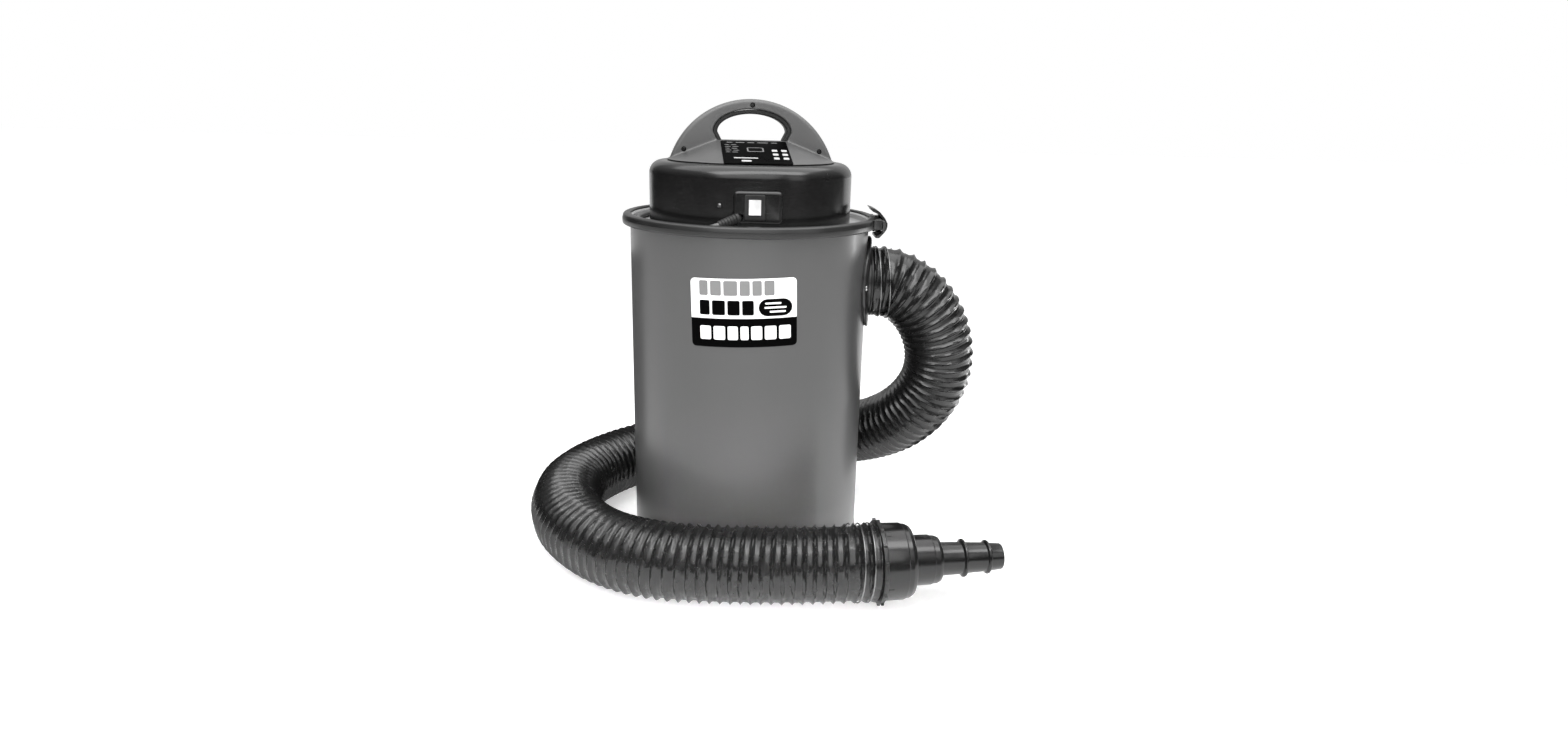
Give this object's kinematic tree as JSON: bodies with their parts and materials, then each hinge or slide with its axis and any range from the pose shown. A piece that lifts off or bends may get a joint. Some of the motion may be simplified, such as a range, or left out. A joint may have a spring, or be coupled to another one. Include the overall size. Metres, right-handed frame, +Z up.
{
  "type": "drum dust collector",
  "caption": "Steel drum dust collector: clamped motor head with arch handle, corrugated hose to a stepped tool adapter, coiled mains lead.",
  "frame": {"origin": "centre of the drum's flat bottom, on the floor", "axes": "+Z up along the drum's axis, +X out of the inlet port, -Y towards the front label and the switch"},
  "size_m": [0.7054, 0.7794, 0.6785],
  "materials": {
    "drum_paint": "satin grey enamel",
    "lid_paint": "gloss light grey enamel",
    "cover_black": "gloss black moulding",
    "handle_grey": "satin mid-grey moulding",
    "trim_black": "satin black moulding",
    "hose_black": "semi-gloss black corrugated PVC",
    "seal_rubber": "soft black rubber",
    "cord_rubber": "dark grey cord sheath",
    "bright_steel": "zinc-plated",
    "dark_steel": "blackened",
    "cast_alloy": "die-cast",
    "copper_winding": "enamelled winding",
    "switch_white": "white rocker",
    "filter_paper": "pleated filter paper",
    "label_print": "printed film"
  },
  "bodies": {
    "drum": {"drum_shell": "drum_paint", "front_label": "label_print", "inlet_gasket": "seal_rubber", "inlet_flange": "trim_black", "inlet_screw_1": "bright_steel", "inlet_screw_2": "bright_steel", "inlet_screw_3": "bright_steel", "inlet_screw_4": "bright_steel", "hose": "hose_black", "hose_clip_inlet": "bright_steel", "hose_clip_outlet": "bright_steel", "hose_collar": "trim_black", "stepped_reducer": "cover_black", "mains_cord_drop": "cord_rubber", "mains_cord_coil": "cord_rubber", "mains_cord_tail": "cord_rubber", "mains_plug": "trim_black"},
    "head": {"lid_pan": "lid_paint", "lid_gasket": "seal_rubber", "clamp_band": "trim_black", "latch_bracket": "trim_black", "latch_pin": "bright_steel", "latch_catch": "trim_black", "motor_cover": "cover_black", "switch_bezel": "trim_black", "handle_front": "handle_grey", "handle_rear": "handle_grey", "grip_lining": "seal_rubber", "handle_screw_1": "dark_steel", "handle_screw_2": "dark_steel", "handle_screw_3": "dark_steel", "info_panel": "label_print", "cord_gland": "seal_rubber", "cord_clamp_screw": "bright_steel", "mains_cord_on_lid": "cord_rubber", "motor_gasket": "seal_rubber", "fan_casing": "bright_steel", "fan_diffuser": "cast_alloy", "motor_frame": "cast_alloy", "stator_core": "dark_steel", "field_winding_left": "copper_winding", "field_winding_right": "copper_winding", "brush_holder_left": "copper_winding", "brush_holder_right": "copper_winding", "upper_bearing": "bright_steel", "lower_bearing": "bright_steel", "filter_top_cap": "seal_rubber", "filter_cartridge": "filter_paper", "filter_bottom_cap": "trim_black", "filter_stud": "bright_steel"},
    "latch_lever": {"latch_lever": "trim_black"},
    "latch_link": {"latch_link": "bright_steel"},
    "switch": {"switch_rocker": "switch_white"},
    "rotor": {"rotor_shaft": "bright_steel", "armature": "dark_steel", "commutator": "copper_winding", "cooling_fan": "trim_black", "impeller_lower": "cast_alloy", "impeller_upper": "cast_alloy"},
    "filter_knob": {"filter_knob": "trim_black"}
  },
  "joints": [
    {"name": "head_lift", "type": "slide", "parent": "drum", "child": "head", "axis": [0, 0, 1], "range_m": [0, 0.32]},
    {"name": "latch_open", "type": "hinge", "parent": "head", "child": "latch_lever", "pos_m": [0.199, 0.03, 0.5025], "axis": [0, 0, 1], "range_deg": [0, 150]},
    {"name": "latch_link_swing", "type": "hinge", "parent": "latch_lever", "child": "latch_link", "pos_m": [0.197, 0, 0.5025], "axis": [0, 0, 1], "range_deg": [-150, 0]},
    {"name": "switch_rock", "type": "hinge", "parent": "head", "child": "switch", "pos_m": [0.008, -0.1536, 0.536], "axis": [1, 0, 0], "range_deg": [0, 12]},
    {"name": "rotor_spin", "type": "hinge", "parent": "head", "child": "rotor", "pos_m": [0, 0, 0.56], "axis": [0, 0, 1], "continuous": true},
    {"name": "filter_knob_turn", "type": "hinge", "parent": "head", "child": "filter_knob", "pos_m": [0, 0, 0.284], "axis": [0, 0, 1], "continuous": true}
  ],
  "couplings": [
    {"joint": "latch_link_swing", "follows": "latch_open", "ratio": -1}
  ]
}
